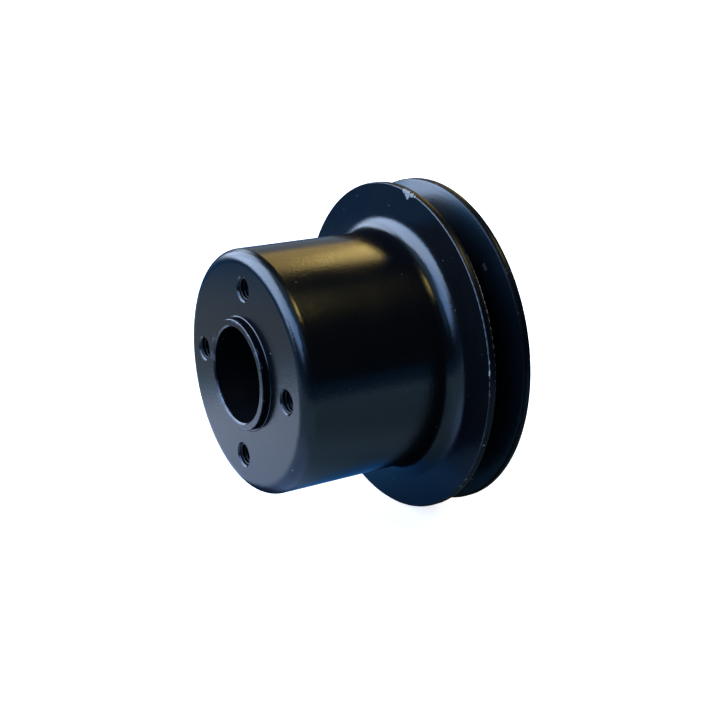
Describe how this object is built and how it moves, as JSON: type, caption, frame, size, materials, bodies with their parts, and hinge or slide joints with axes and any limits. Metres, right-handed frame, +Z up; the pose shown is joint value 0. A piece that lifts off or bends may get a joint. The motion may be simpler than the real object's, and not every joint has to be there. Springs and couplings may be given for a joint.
{
  "type": "v-belt pulley",
  "caption": "Single-groove V-belt pulley with a deep hollow hub drum, a central bore with a raised pilot, and a tapped circle in its closed face for a fan.",
  "frame": {"origin": "on the spin axis, in the plane of the drum's closed face", "axes": "+Y along the spin axis from the closed face into the drum and out of its open end; the four tapped holes stand on the X and Z axes; +Z up"},
  "size_m": [0.119, 0.0797, 0.119],
  "materials": {
    "drum_paint": "satin black paint over turned steel",
    "sleeve_paint": "satin black paint over a turned steel sleeve",
    "ring_paint": "satin black paint, duller inside the drum",
    "weld_paint": "black paint over rippled weld beads"
  },
  "bodies": {
    "root": {"hub_drum": "drum_paint", "rear_flange": "drum_paint", "bore_sleeve": "sleeve_paint", "tapped_ring": "ring_paint", "sleeve_weld": "weld_paint", "ring_welds": "weld_paint", "flange_welds": "weld_paint"}
  },
  "joints": []
}
